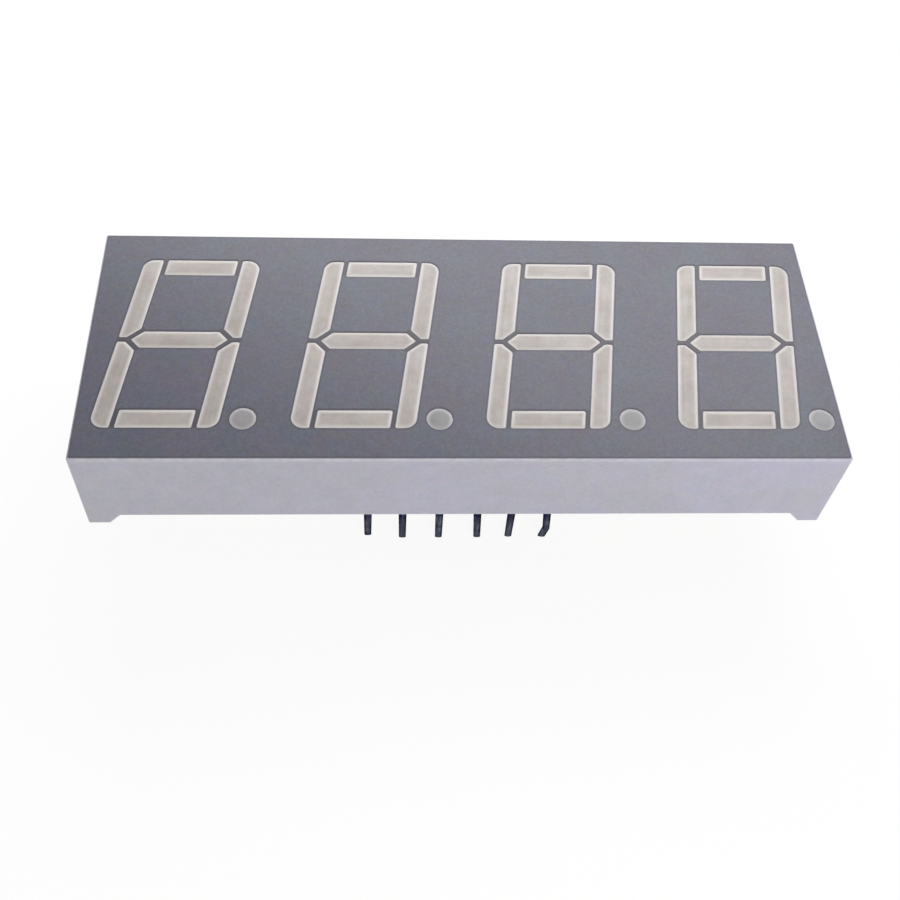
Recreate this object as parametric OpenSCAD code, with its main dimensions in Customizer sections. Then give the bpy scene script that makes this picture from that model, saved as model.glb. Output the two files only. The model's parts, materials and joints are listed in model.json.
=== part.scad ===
// Four digit seven segment display module, in millimetres.
// The origin is in the seating plane, under the middle of the pin pattern. +Z comes out of the face,
// +X runs along the digits as they are read and +Y points at the tops of the digits.

/* [Digits] */
// Height of a digit
digit_h = 14.3; // [11.5:0.1:18]
// Width of a digit over its uprights, without the slant
digit_w = 8.2; // [6.8:0.1:9.9]
// Gap from one digit to the next, less the slant
digit_gap = 4.5; // [3.7:0.1:6]
// Lean of the digits, in degrees
slant = 8; // [0:1:10]
// Width of the upright bars
upright_w = 1.35; // [1.1:0.05:1.65]
// Width of the level bars
level_w = 1.45; // [1.2:0.05:1.75]
// Gap between an upright bar and a level or middle bar
bar_gap = 0.3; // [0.2:0.05:0.5]
// Gap between the upper and the lower uprights
waist_gap = 0.3; // [0.2:0.05:0.5]
// Length of the middle bar's points
tip_l = 0.76; // [0.6:0.02:0.95]
// Height of the sloped end of an upright at the waist
waist_slope_h = 0.76; // [0.6:0.02:0.95]
// Radius of a digit's four outer corners
outer_r = 0.85; // [0.3:0.05:1]
// Radius of every other corner of a bar
inner_r = 0.12; // [0.06:0.02:0.2]
// Diameter of a decimal point
point_d = 1.73; // [1.4:0.01:2.1]
// Gap between a decimal point and the digit before it
point_gap = 0.6; // [0.4:0.05:0.8]
// Height of a decimal point's centre above the foot of the digits
point_rise = 0.75; // [0.6:0.05:1]

/* [Housing] */
// Height from the seating plane to the face
body_h = 8; // [6.6:0.1:10]
// Distance from the last decimal point to the end of the body
end_margin = 0.57; // [0.45:0.01:1.5]
// Thickness of the outer walls
wall = 0.8; // [0.65:0.05:1]
// Radius of the corners and of the edges of the face
edge_r = 0.12; // [0.06:0.02:0.4]
// Height of the corner feet
foot_h = 1; // [0.6:0.05:1.2]
// Length of a foot's flat sole along each wall
foot_flat = 1.45; // [1:0.05:2]
// How far a foot's sloped end runs on along the wall
foot_slope = 0.8; // [0.4:0.05:1]
// How far the long sides of a light well lean in
well_side_draft = 0.2; // [0.1:0.02:0.25]
// How far the ends of a light well lean in
well_end_draft = 1; // [0.5:0.05:1.2]
// How far the light well of a decimal point leans in
point_draft = 0.3; // [0.12:0.01:0.34]
// Depth of the straight lip at the mouth of a light well
well_lip = 0.4; // [0.2:0.05:0.8]
// Thickness of the face over the hollows behind it
face_t = 1.2; // [0.8:0.1:2]
// Wall between a hollow and the light wells around it
well_wall = 0.75; // [0.5:0.05:1]

/* [Face print] */
// Thickness of the printed face
ink_t = 0.05; // [0.02:0.01:0.1]
// Bare edge around the printed face
ink_edge = 0.12; // [0:0.02:0.4]
// Bare lip between the print and the light well of each bar and point
ink_lip = 0.05; // [0.02:0.01:0.12]

/* [Circuit board and potting] */
// Thickness of the circuit board
board_t = 1; // [0.8:0.1:1.6]
// Gap around the circuit board, filled by the potting
board_gap = 0.1; // [0.05:0.01:0.2]
// Thickness of the potting behind the board
potting_t = 1.2; // [0.8:0.1:1.5]
// Depth of the potting's surface below the back edge of the walls
potting_recess = 0.4; // [0.2:0.05:0.6]
// Height of the potting where it creeps up around a pin
creep_h = 0.15; // [0.05:0.05:0.3]
// Thickness of the copper
copper_t = 0.035; // [0.02:0.005:0.07]

/* [Pins] */
// Pins in each of the two rows
pins_per_row = 6; // [4:1:6]
// Distance from one pin to the next
pin_pitch = 2.54; // [2:0.01:3]
// Distance from the ends of the digits to a row of pins
row_offset = 0.47; // [0.39:0.01:0.8]
// Distance from a row of pins to the long side of the body
row_setback = 1.88; // [1.5:0.01:2.5]
// Diameter of a pin
pin_d = 0.6; // [0.4:0.01:0.7]
// Diameter of a pin at its cropped tip
pin_tip_d = 0.5; // [0.3:0.01:0.6]
// Length of the pins below the seating plane
pin_l = 5.6; // [3:0.05:8]
// Slope of the two faces that the nippers leave at a pin's tip, in degrees
crop_angle = 50; // [30:1:60]
// How far the pins stand above the board
pin_head = 0.5; // [0.3:0.05:0.6]
// How much wider a pin is at its head, so that it grips the board
pin_taper = 0.04; // [0.02:0.01:0.08]

/* [Light emitting dies] */
// Width of a die
die_w = 0.3; // [0.2:0.01:0.35]
// Height of a die
die_h = 0.2; // [0.1:0.01:0.3]
// Diameter of a bond wire
wire_d = 0.05; // [0.03:0.01:0.06]
// Reach of a bond wire from the die to its pad
wire_span = 0.6; // [0.5:0.02:0.7]

/* [Hidden] */
$fn = 32;
// How far a cutting shape runs past what it cuts
past_cut = 0.5;
DIGITS = 4;
BARS = ["a", "b", "c", "d", "e", "f", "g"];
// Straight steps around the small and the large corners of a bar
CORNER_STEPS = 3;
OUTER_STEPS = 7;
// Largest share of an upright's width that its outer corner takes
CORNER_SHARE = 0.65;
// Lean of an upright's sloped end, as a share of the lean of the other ends
SLOPED_SHARE = 0.6;

slope = tan(slant);
digit_pitch = digit_w + digit_gap;
point_y = point_rise - digit_h / 2;
point_x = digit_w / 2 + slope * point_y + point_gap + point_d / 2;
row_pitch = digit_h + 2 * row_offset;

body_w = (DIGITS - 1) * digit_pitch + 2 * (point_x + point_d / 2 + end_margin);
body_d = row_pitch + 2 * row_setback;
pocket = [body_w - 2 * wall, body_d - 2 * wall];
board = [pocket[0] - 2 * board_gap, pocket[1] - 2 * board_gap];

potting_z = foot_h + potting_recess;
board_back_z = potting_z + potting_t;
board_z = board_back_z + board_t;
shell_z = body_h - ink_t;

half_w = digit_w / 2;
half_h = digit_h / 2;
level_x = half_w - upright_w - bar_gap;
level_y = half_h - level_w / 2;
upright_x = half_w - upright_w / 2;
upright_y = (waist_gap / 2 + half_h) / 2;
waist_slope_w = waist_slope_h * tip_l / (level_w / 2);
// The middle bar's points run along the sloped ends of the uprights, a bar gap away from them
tip_run = unit([tip_l, level_w / 2]);
tip_x = half_w - upright_w + waist_slope_w + (tip_run[0] * waist_gap / 2 - bar_gap) / tip_run[1];
bar_corner_r = min(outer_r, CORNER_SHARE * upright_w);
well_sloped_draft = SLOPED_SHARE * well_end_draft;

// Copper ring and solder around each pin, and the trough in the housing that clears them
pad_rim = 0.2;
solder_h = 0.35;
solder_neck = 0.05;
trough_gap = 0.02;
trough_headroom = 0.2;
pin_head_d = pin_d + pin_taper;
pad_r = pin_head_d / 2 + pad_rim;
trough_w = row_setback - wall + pad_r + trough_gap;
trough_h = pin_head + trough_headroom;
// Copper pad under a die, which is this much wider than the die all around, and the pad of its wire
die_pad_rim = 0.1;
bond_pad = [0.35, 0.4];
// How far two shapes that make one solid run into each other
weld = 0.01;
// Thickness of the potting's creep where it ends on a pin
creep_toe = 0.03;

// Length below the seating plane over which every pin is straight
pin_straight = 0.7;
// Bends that the front row took in handling, from pin 1: depth of the knee, sideways at the knee,
// sideways at the tip, and how much shorter the tip is cropped. The back row is straight.
pin_bends = [
    [0, 0, 0, 0.4], [1.9, -0.08, -0.02, 0.02], [1.9, 0, 0.08, 0.02],
    [1.9, 0.17, 0.37, 0.03], [1.9, 0.08, 0.12, 0.1], [4.3, 0.27, 0.04, 0.06]];
// Height at which the pins begin to widen towards their heads
shank_z = foot_h / 2;

SEGMENT_NODES = [for (d = [1:DIGITS]) for (s = concat(BARS, ["point"])) segment_name(d, s)];
PIN_NODES = [for (n = [1:2 * pins_per_row]) str("pin_", n)];
DIE_NODES = [for (d = [1:DIGITS]) str("digit_", d, "_led_dies")];
WIRE_NODES = [for (d = [1:DIGITS]) str("digit_", d, "_bond_wires")];

function segment_name(d, s) = s == "point" ? str("digit_", d, "_point") : str("digit_", d, "_segment_", s);
function digit_x(d) = (d - (DIGITS + 1) / 2) * digit_pitch;

// ---- Outlines ----

function unit(v) = v / norm(v);
function left_of(v) = [-v[1], v[0]];
function reversed(list) = [for (i = [len(list) - 1:-1:0]) list[i]];
function lean(p) = [p[0] + slope * p[1], p[1]];

// Where corner b goes when the edge from a moves in by da and the edge to c moves in by dc
function moved_corner(a, b, c, da, dc) =
    let (n = left_of(unit(b - a)), m = left_of(unit(c - b)), det = n[0] * m[1] - n[1] * m[0])
    b + [da * m[1] - dc * n[1], dc * n[0] - da * m[0]] / det;

// An anticlockwise outline with each edge moved in by its own distance
function moved_in(p, by) =
    let (n = len(p))
    [for (i = [0:n - 1]) moved_corner(p[(i + n - 1) % n], p[i], p[(i + 1) % n], by[(i + n - 1) % n], by[i])];

// Corner b as an arc of radius r in the given number of steps
function corner_arc(a, b, c, r, steps) =
    let (
        u = unit(a - b),
        v = unit(c - b),
        half = acos(u * v) / 2,
        centre = b + unit(u + v) * r / sin(half),
        start = b + u * r / tan(half) - centre,
        from = atan2(start[1], start[0]))
    [for (k = [0:steps]) let (t = from + k / steps * (180 - 2 * half)) centre + r * [cos(t), sin(t)]];

// An outline with every corner rounded. radii gives each corner's radius, and tight is taken off them
function rounded(p, radii, tight) =
    let (n = len(p))
    [for (i = [0:n - 1])
        each corner_arc(p[(i + n - 1) % n], p[i], p[(i + 1) % n], max(radii[i] - tight, inner_r / 2),
            radii[i] > inner_r ? OUTER_STEPS : CORNER_STEPS)];

// The bars with square corners, anticlockwise, about the digit's centre and without the slant.
// side moves the long edges in and end moves the ends in
function level_bar(y, side, end) =
    let (x = level_x - end, h = level_w / 2 - side)
    [[-x, y - h], [x, y - h], [x, y + h], [-x, y + h]];

function middle_bar(side, end) =
    let (x = tip_x - tip_l, h = level_w / 2)
    moved_in([[-x, -h], [x, -h], [tip_x, 0], [x, h], [-x, h], [-tip_x, 0]], [side, end, end, side, end, end]);

// The upper left upright: foot, sloped waist end, inner side, top, outer side
function upright_bar(side, end, sloped) =
    let (inner = -half_w + upright_w, foot = waist_gap / 2)
    moved_in(
        [[-half_w, foot], [inner - waist_slope_w, foot], [inner, foot + waist_slope_h],
            [inner, half_h], [-half_w, half_h]],
        [end, sloped, side, end, side]);

UPRIGHT_RADII = [inner_r, inner_r, inner_r, inner_r, bar_corner_r];

function flipped(p, x, y) =
    let (q = [for (c = p) [x * c[0], y * c[1]]])
    x * y < 0 ? reversed(q) : q;

function bar_outline(s, side = 0, end = 0, sloped = 0) =
    let (
        flip_x = s == "b" || s == "c" ? -1 : 1,
        flip_y = s == "e" || s == "c" ? -1 : 1,
        level = s == "a" || s == "d",
        corners = level ? level_bar(s == "a" ? level_y : -level_y, side, end)
            : s == "g" ? middle_bar(side, end)
            : flipped(upright_bar(side, end, sloped), flip_x, flip_y),
        radii = level || s == "g" ? [for (c = corners) inner_r]
            : flip_x * flip_y < 0 ? reversed(UPRIGHT_RADII) : UPRIGHT_RADII)
    rounded([for (c = corners) lean(c)], radii, side);

// Middle of a bar or point, where its die sits, and the direction that it runs in
function bar_middle(s) =
    s == "point" ? [point_x, point_y]
    : lean([
        s == "b" || s == "c" ? upright_x : s == "e" || s == "f" ? -upright_x : 0,
        s == "a" ? level_y : s == "d" ? -level_y
            : s == "b" || s == "f" ? upright_y : s == "c" || s == "e" ? -upright_y : 0]);
function bar_angle(s) = s == "a" || s == "d" || s == "g" ? 0 : s == "point" ? 90 : 90 - slant;

// ---- Shared shapes ----

// Solid skin over a stack of outlines that have the same number of points, given as [outline, height]
// from the bottom up
module stacked(rings) {
    n = len(rings[0][0]);
    last = len(rings) - 1;
    polyhedron(
        points = [for (ring = rings) for (p = ring[0]) [p[0], p[1], ring[1]]],
        faces = concat(
            [[for (i = [0:n - 1]) i]],
            [[for (i = [n - 1:-1:0]) last * n + i]],
            [for (k = [0:last - 1]) for (i = [0:n - 1])
                let (j = (i + 1) % n)
                [k * n + j, k * n + i, (k + 1) * n + i, (k + 1) * n + j]]));
}

// The light well of one bar or point, from the board up to the face. past lengthens it both ways
module light_well(s, past = 0) {
    lip_z = shell_z - well_lip;
    if (s == "point") {
        mouth_r = point_d / 2 - ink_lip;
        floor_r = mouth_r - point_draft;
        translate([point_x, point_y, 0])
            rotate_extrude()
                polygon([
                    [0, board_z - past], [floor_r, board_z - past], [floor_r, board_z],
                    [mouth_r, lip_z], [mouth_r, shell_z + past], [0, shell_z + past]]);
    } else {
        mouth = bar_outline(s, ink_lip, ink_lip, ink_lip);
        floor = bar_outline(
            s, ink_lip + well_side_draft, ink_lip + well_end_draft, ink_lip + well_sloped_draft);
        stacked(concat(
            past > 0 ? [[floor, board_z - past]] : [],
            [[floor, board_z], [mouth, lip_z], [mouth, shell_z + past]]));
    }
}

module rounded_rectangle(size, r) {
    square([size[0] - 2 * r, size[1]], center = true);
    square([size[0], size[1] - 2 * r], center = true);
    for (x = [-1, 1], y = [-1, 1])
        translate([x * (size[0] / 2 - r), y * (size[1] / 2 - r)])
            circle(r);
}

module at_each_digit() {
    for (d = [1:DIGITS])
        translate([digit_x(d), 0, 0])
            children();
}

// Places a child at pin n. Pins 1 to 6 are the front row from the left, and 7 to 12 the back row
// from the right
module at_pin(n) {
    front = n <= pins_per_row;
    column = front ? n - 1 : 2 * pins_per_row - n;
    translate([(column - (pins_per_row - 1) / 2) * pin_pitch, (front ? -1 : 1) * row_pitch / 2, 0])
        children();
}

module at_each_pin() {
    for (n = [1:2 * pins_per_row])
        at_pin(n)
            children();
}

// Places a child on the board at the middle of a bar, with +X along the bar
module at_bar(s) {
    translate(concat(bar_middle(s), board_z))
        rotate(bar_angle(s))
            children();
}

// ---- Housing ----

module rounded_block() {
    inner = [body_w - 2 * edge_r, body_d - 2 * edge_r];
    linear_extrude(shell_z - edge_r)
        rounded_rectangle([body_w, body_d], edge_r);
    translate([-inner[0] / 2, -inner[1] / 2, foot_h])
        cube([inner[0], inner[1], shell_z - foot_h]);
    translate([0, 0, shell_z - edge_r]) {
        for (y = [-1, 1])
            translate([0, y * inner[1] / 2, 0])
                rotate([0, 90, 0])
                    cylinder(r = edge_r, h = inner[0], center = true);
        for (x = [-1, 1])
            translate([x * inner[0] / 2, 0, 0])
                rotate([90, 0, 0])
                    cylinder(r = edge_r, h = inner[1], center = true);
        for (x = [-1, 1], y = [-1, 1])
            translate([x * inner[0] / 2, y * inner[1] / 2, 0])
                sphere(edge_r);
    }
}

// Cuts the walls back to the corner feet, between the two feet at the ends of a side
module between_feet(side, across) {
    half_top = side / 2 - foot_flat - foot_slope;
    low = half_top + foot_slope * (1 + past_cut / foot_h);
    rotate([90, 0, 0])
        linear_extrude(across + 2 * past_cut, center = true)
            polygon([
                [-low, -past_cut], [low, -past_cut],
                [half_top, foot_h], [-half_top, foot_h]]);
}

// Hollow behind one of the two counters of a digit. y is 1 for the upper one and -1 for the lower one
module counter_hollow(y) {
    x = half_w - upright_w - well_wall;
    low = level_w / 2 + well_wall;
    high = half_h - level_w - well_wall;
    corners = flipped([[-x, low], [x, low], [x, high], [-x, high]], 1, y);
    translate([0, 0, board_z - past_cut])
        linear_extrude(shell_z - face_t - board_z + past_cut)
            polygon(rounded([for (c = corners) lean(c)], [for (c = corners) 2 * inner_r], 0));
}

module reflector_housing() {
    color([0.78, 0.77, 0.81])
        difference() {
            rounded_block();
            translate([0, 0, -past_cut])
                linear_extrude(board_z + past_cut)
                    rounded_rectangle(pocket, edge_r);
            between_feet(body_w, body_d);
            rotate(90)
                between_feet(body_d, body_w);
            for (y = [-1, 1])
                translate([0, y * (pocket[1] - trough_w) / 2, board_z])
                    cube([pins_per_row * pin_pitch, trough_w, 2 * trough_h], center = true);
            at_each_digit() {
                for (s = concat(BARS, ["point"]))
                    light_well(s, past_cut);
                counter_hollow(1);
                counter_hollow(-1);
            }
        }
}

module face_ink() {
    color([0.44, 0.46, 0.48])
        translate([0, 0, shell_z])
            linear_extrude(ink_t)
                difference() {
                    rounded_rectangle([body_w - 2 * ink_edge, body_d - 2 * ink_edge], edge_r);
                    at_each_digit() {
                        for (s = BARS)
                            polygon(bar_outline(s));
                        translate([point_x, point_y])
                            circle(d = point_d);
                    }
                }
}

// ---- Circuit board, dies and wires ----

// Copper of one bar: the pad under the die and the pad that the wire is bonded to
module bar_pads(h) {
    translate([-wire_span / 2, 0, 0])
        linear_extrude(h)
            square(die_w + 2 * die_pad_rim, center = true);
    translate([wire_span / 2, 0, 0])
        linear_extrude(h)
            square(bond_pad, center = true);
}

module copper_layer(h) {
    at_each_digit()
        for (s = concat(BARS, ["point"]))
            at_bar(s)
                translate([0, 0, -copper_t])
                    bar_pads(h);
    at_each_pin()
        translate([0, 0, board_z - copper_t])
            cylinder(r = pad_r, h = h);
}

// The upper part of a pin, from just below the potting to its head
module pin_shank() {
    translate([0, 0, shank_z])
        cylinder(d1 = pin_d, d2 = pin_head_d, h = board_z + pin_head - shank_z);
}

module pin_holes() {
    at_each_pin()
        pin_shank();
}

module circuit_board() {
    color([0.16, 0.42, 0.24])
        difference() {
            translate([0, 0, board_back_z])
                linear_extrude(board_t)
                    square(board, center = true);
            copper_layer(copper_t + past_cut);
            pin_holes();
        }
}

module copper_pads() {
    color([0.8, 0.5, 0.3])
        difference() {
            copper_layer(copper_t);
            pin_holes();
        }
}

module solder_joints() {
    color([0.75, 0.76, 0.78])
        difference() {
            at_each_pin()
                translate([0, 0, board_z])
                    cylinder(r1 = pad_r, r2 = pin_head_d / 2 + solder_neck, h = solder_h);
            pin_holes();
        }
}

module die(s) {
    at_bar(s)
        translate([-wire_span / 2, 0, 0])
            linear_extrude(die_h)
                square(die_w, center = true);
}

// A bond wire: a half ring from the top of the die, and a drop to its pad
module bond_wire(s) {
    at_bar(s) {
        translate([0, 0, die_h])
            rotate([90, 0, 0])
                rotate_extrude(angle = 180)
                    translate([wire_span / 2, 0])
                        circle(d = wire_d, $fn = 16);
        translate([wire_span / 2, 0, 0])
            cylinder(d = wire_d, h = die_h, $fn = 16);
    }
}

module led_dies(d) {
    color([0.9, 0.85, 0.6])
        translate([digit_x(d), 0, 0])
            for (s = concat(BARS, ["point"]))
                die(s);
}

module bond_wires(d) {
    color([0.9, 0.75, 0.35])
        translate([digit_x(d), 0, 0])
            for (s = concat(BARS, ["point"]))
                bond_wire(s);
}

// The cast epoxy of one bar or point, set around its die and wire
module segment(d, s) {
    color([0.79, 0.77, 0.73])
        translate([digit_x(d), 0, 0])
            difference() {
                light_well(s);
                die(s);
                bond_wire(s);
            }
}

module back_potting() {
    color([0.85, 0.84, 0.8])
        difference() {
            union() {
                translate([0, 0, potting_z])
                    linear_extrude(board_z - potting_z)
                        rounded_rectangle(pocket, edge_r);
                at_each_pin()
                    translate([0, 0, potting_z - creep_h])
                        cylinder(r1 = pin_d / 2 + creep_toe, r2 = pin_d / 2 + creep_h, h = creep_h + weld);
            }
            translate([0, 0, board_back_z])
                linear_extrude(board_t + past_cut)
                    square(board, center = true);
            pin_holes();
        }
}

// ---- Pins ----

// A length of pin from p down to q, which lie in one XZ plane
module pin_length(p, q, top_d, low_d) {
    translate([p[0], 0, p[1]])
        rotate([0, atan2(q[0] - p[0], q[1] - p[1]), 0])
            cylinder(d1 = top_d, d2 = low_d, h = norm(q - p));
}

// The last length of a pin, from p down to its tip at q. The tip is cropped to a roof, with its ridge
// along the row
module cropped_length(p, q, top_d, low_d) {
    eaves_z = q[1] + top_d * tan(crop_angle);
    intersection() {
        pin_length(p, q + unit(q - p) * low_d, top_d, low_d);
        rotate([90, 0, 90])
            linear_extrude(4 * top_d, center = true)
                polygon([
                    [0, q[1]], [top_d, eaves_z], [top_d, p[1] + top_d],
                    [-top_d, p[1] + top_d], [-top_d, eaves_z]]);
    }
}

module pin(n) {
    bend = n <= pins_per_row ? pin_bends[n - 1] : [0, 0, 0, 0];
    tip = [bend[2], bend[3] - pin_l];
    color([0.27, 0.28, 0.32])
        at_pin(n) {
            pin_shank();
            translate([0, 0, -pin_straight])
                cylinder(d = pin_d, h = pin_straight + shank_z);
            if (bend[0] == 0) {
                cropped_length([0, -pin_straight], tip, pin_d, pin_tip_d);
            } else {
                knee = [bend[1], -bend[0]];
                knee_d = pin_d + (pin_tip_d - pin_d) * (bend[0] - pin_straight) / (pin_l - pin_straight);
                translate([0, 0, -pin_straight])
                    sphere(d = pin_d);
                pin_length([0, -pin_straight], knee, pin_d, knee_d);
                translate([knee[0], 0, knee[1]])
                    sphere(d = knee_d);
                cropped_length(knee, tip, knee_d, pin_tip_d);
            }
        }
}

reflector_housing();
face_ink();
circuit_board();
copper_pads();
solder_joints();
back_potting();
for (d = [1:DIGITS]) for (s = concat(BARS, ["point"]))
    segment(d, s);
for (d = [1:DIGITS])
    led_dies(d);
for (d = [1:DIGITS])
    bond_wires(d);
for (n = [1:2 * pins_per_row])
    pin(n);
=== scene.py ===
"""Finishes, cast epoxy and a small studio for a four digit seven segment display module.

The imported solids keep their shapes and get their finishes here. The epoxy of the bars and points is
cast again with the low crown that it sets with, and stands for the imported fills.
"""

import json
import math

import bmesh
import bpy
from bpy.props import FloatProperty, FloatVectorProperty, PointerProperty
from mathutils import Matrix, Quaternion, Vector

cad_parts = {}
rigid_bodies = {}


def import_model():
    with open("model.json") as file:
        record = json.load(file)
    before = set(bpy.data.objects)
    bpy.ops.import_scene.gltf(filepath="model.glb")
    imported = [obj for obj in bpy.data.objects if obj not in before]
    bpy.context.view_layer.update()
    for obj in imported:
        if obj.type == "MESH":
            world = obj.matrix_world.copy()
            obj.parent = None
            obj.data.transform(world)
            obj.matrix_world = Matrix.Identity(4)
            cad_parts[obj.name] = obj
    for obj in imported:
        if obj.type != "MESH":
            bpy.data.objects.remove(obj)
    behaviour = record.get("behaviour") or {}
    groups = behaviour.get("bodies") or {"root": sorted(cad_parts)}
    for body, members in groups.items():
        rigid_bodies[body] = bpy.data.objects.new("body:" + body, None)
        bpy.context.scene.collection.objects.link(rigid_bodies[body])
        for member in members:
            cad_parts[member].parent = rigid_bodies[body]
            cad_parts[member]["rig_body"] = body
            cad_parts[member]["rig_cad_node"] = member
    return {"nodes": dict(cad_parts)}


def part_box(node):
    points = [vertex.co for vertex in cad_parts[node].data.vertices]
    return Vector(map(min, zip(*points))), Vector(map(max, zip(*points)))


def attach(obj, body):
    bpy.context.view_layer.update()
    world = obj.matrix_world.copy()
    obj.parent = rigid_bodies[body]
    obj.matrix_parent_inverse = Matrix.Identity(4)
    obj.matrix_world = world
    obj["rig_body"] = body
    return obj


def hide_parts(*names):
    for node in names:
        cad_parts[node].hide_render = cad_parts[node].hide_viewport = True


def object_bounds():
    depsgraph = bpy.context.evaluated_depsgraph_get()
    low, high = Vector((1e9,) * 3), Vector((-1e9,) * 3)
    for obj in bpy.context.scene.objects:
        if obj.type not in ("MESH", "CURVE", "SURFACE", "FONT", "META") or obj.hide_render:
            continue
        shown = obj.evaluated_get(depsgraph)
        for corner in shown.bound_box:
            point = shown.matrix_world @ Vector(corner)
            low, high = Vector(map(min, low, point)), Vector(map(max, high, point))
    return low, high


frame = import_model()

bl_info = {
    "name": "Seven Segment Display Module",
    "version": (1, 0, 0),
    "blender": (4, 5, 0),
    "location": "View3D > Sidebar > Display",
    "description": "Finishes a four digit seven segment display module and lights it in a small studio",
    "category": "Object",
}

MM = 0.001
DIGITS = (1, 2, 3, 4)
BARS = "abcdefg"
PINS = tuple(range(1, 13))
CAD_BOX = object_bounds()
HOUSING_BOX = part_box("reflector_housing")
FACE_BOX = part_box("face_ink")
MOUTH_Z = HOUSING_BOX[1].z
SLANT = math.radians(8)
LEAN = math.tan(SLANT)
# Gap between the epoxy of neighbouring bars. The ink's openings reach a little past the epoxy.
BAR_GAP = 0.4 * MM
# Heights, in millimetres, where the painted shade near the body ends and where it is full on a pin,
# darker and bluer towards the body
SHADE_END, SHADE_FULL = -3.2, -2.0
# Tint of the tin's sheen, and the colour of dust on the ink
TIN_SHEEN = (0.08, 0.08, 0.1, 1.0)
DUST = (0.6, 0.6, 0.62)

# Widths and heights of the studio's floor and lamps, in metres
FLOOR_SIZE = 1.6
KEY_SIZE = (0.13, 0.05)
FILL_SIZE = (0.14, 0.14)
# Distances from the part, in millimetres, where the floor's glow starts to grow and where it is full
GLOW_NEAR, GLOW_FAR = 70, 220
# Faces that meet at less than this shade as one smooth surface
SMOOTH_ANGLE = math.radians(32)


def swatch(red, green, blue):
    """A paint swatch's 0 to 255 values as a linear colour."""

    def linear(value):
        value /= 255
        return value / 12.92 if value <= 0.04045 else ((value + 0.055) / 1.055) ** 2.4

    return tuple(linear(value) for value in (red, green, blue))


def colour(name, description, values):
    """A colour setting, with its default as a swatch."""
    return FloatVectorProperty(
        name=name, description=description, subtype="COLOR", min=0, max=1, default=swatch(*values)
    )


def length(name, description, millimetres):
    """A length setting, with its default in millimetres."""
    return FloatProperty(
        name=name, description=description, unit="LENGTH", precision=6, min=0, default=millimetres * MM
    )


def share(name, description, value):
    """A setting from 0 to 1."""
    return FloatProperty(
        name=name, description=description, subtype="FACTOR", min=0, max=1, default=value
    )


def angle(name, description, degrees):
    """An angle setting, with its default in degrees."""
    return FloatProperty(
        name=name, description=description, subtype="ANGLE", default=math.radians(degrees)
    )


def point(name, description, millimetres):
    """A place, with its default in millimetres."""
    return FloatVectorProperty(
        name=name,
        description=description,
        subtype="TRANSLATION",
        unit="LENGTH",
        default=tuple(value * MM for value in millimetres),
    )


# ---- Sizes and colours that a user would change ----


class HousingFinish(bpy.types.PropertyGroup):
    # The pale tone at the right end and the dull tone at the left end are painted light and shade.
    pale: colour("Pale plastic", "Lighter tone of the housing's plastic, painted at its right end as light", (208, 203, 231))
    dull: colour("Dull plastic", "Darker tone of the housing's plastic, painted at its left end as shade and in clouds", (201, 200, 210))
    # The edge tone is a painted highlight along the housing's edges and just below the face.
    worn: colour("Edge highlight", "Plastic where an edge has been rubbed", (240, 238, 246))
    edge_width: length("Edge width", "Width of the rubbed sharp edges", 0.16)
    grain_depth: length("Grain depth", "Depth of the mould's fine grain", 0.004)


class PrintFinish(bpy.types.PropertyGroup):
    cool: colour("Cool ink", "Cooler tone of the printed face", (91, 97, 112))
    warm: colour("Warm ink", "Warmer tone of the printed face", (100, 95, 111))
    # The dark tone below is painted shade along the edges of the openings and in the gaps between the
    # bars.
    bead: colour("Ink bead", "Painted shade along the ink's edges and in the gaps between the bars", (56, 48, 54))
    bead_width: length("Bead width", "Width of the thick ink along an edge", 0.2)
    grain_depth: length("Grain depth", "Depth of the ink's fine grain", 0.002)


class CastFinish(bpy.types.PropertyGroup):
    # The rim tones are lighter partly because the white wall of the well shows through the thin epoxy
    # there and partly as a painted highlight.
    rim: colour("Rim", "Epoxy along the wall of a light well", (245, 240, 236))
    middle: colour("Middle", "Epoxy over the middle of a bar", (186, 178, 174))
    tint: colour("Tint", "Warmer streaks in the middle of a bar", (180, 166, 160))
    point_rim: colour("Point rim", "Epoxy along the rim of a decimal point", (208, 205, 206))
    point_middle: colour("Point middle", "Epoxy over the middle of a decimal point", (149, 147, 150))
    edge_width: length("Edge width", "Width of the steep edge of the epoxy", 0.04)
    slope_width: length("Slope width", "Width of the slope inside the steep edge", 0.1)
    crown_width: length("Crown width", "Width of the slight slope inside that", 0.13)
    edge_rise: length("Edge rise", "Rise of the steep edge", 0.01)
    slope_rise: length("Slope rise", "Rise of the slope inside it", 0.014)
    crown_rise: length("Crown rise", "Rise of the slight slope", 0.008)


class PinFinish(bpy.types.PropertyGroup):
    dull: colour("Dull tin", "Darkened tin on the pins", (86, 90, 100))
    # The tone below is painted shade: the pins are darker and bluer close to the body.
    blued: colour("Shade near the body", "Tin painted darker and bluer close to the body, as painted shade", (58, 58, 84))
    bright: colour("Bright tin", "Tin that still has its shine", (138, 142, 152))
    crop: colour("Cropped end", "Bare metal where a pin was cropped", (120, 112, 108))


class InsideFinish(bpy.types.PropertyGroup):
    laminate: colour("Laminate", "Glass fibre laminate of the circuit board", (56, 110, 72))
    weave: colour("Weave", "Glass cloth that shows in the laminate", (80, 136, 92))
    copper: colour("Copper", "Bare copper of the pads", (204, 142, 104))
    tarnish: colour("Tarnish", "Darkened copper", (150, 92, 66))
    solder: colour("Solder", "Bright solder", (196, 198, 202))
    flux: colour("Flux", "Flux left on the solder", (160, 146, 118))
    die: colour("Die", "Light emitting die", (226, 206, 146))
    die_edge: colour("Die edge", "Sawn edge of a die", (160, 140, 96))
    wire: colour("Gold", "Gold of the bond wires", (232, 190, 106))
    wire_shade: colour("Gold shade", "Duller gold of the bond wires", (196, 150, 80))
    potting: colour("Potting", "Epoxy behind the circuit board", (214, 208, 192))
    potting_deep: colour("Deep potting", "Epoxy where the board shows through it", (186, 190, 166))


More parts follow.
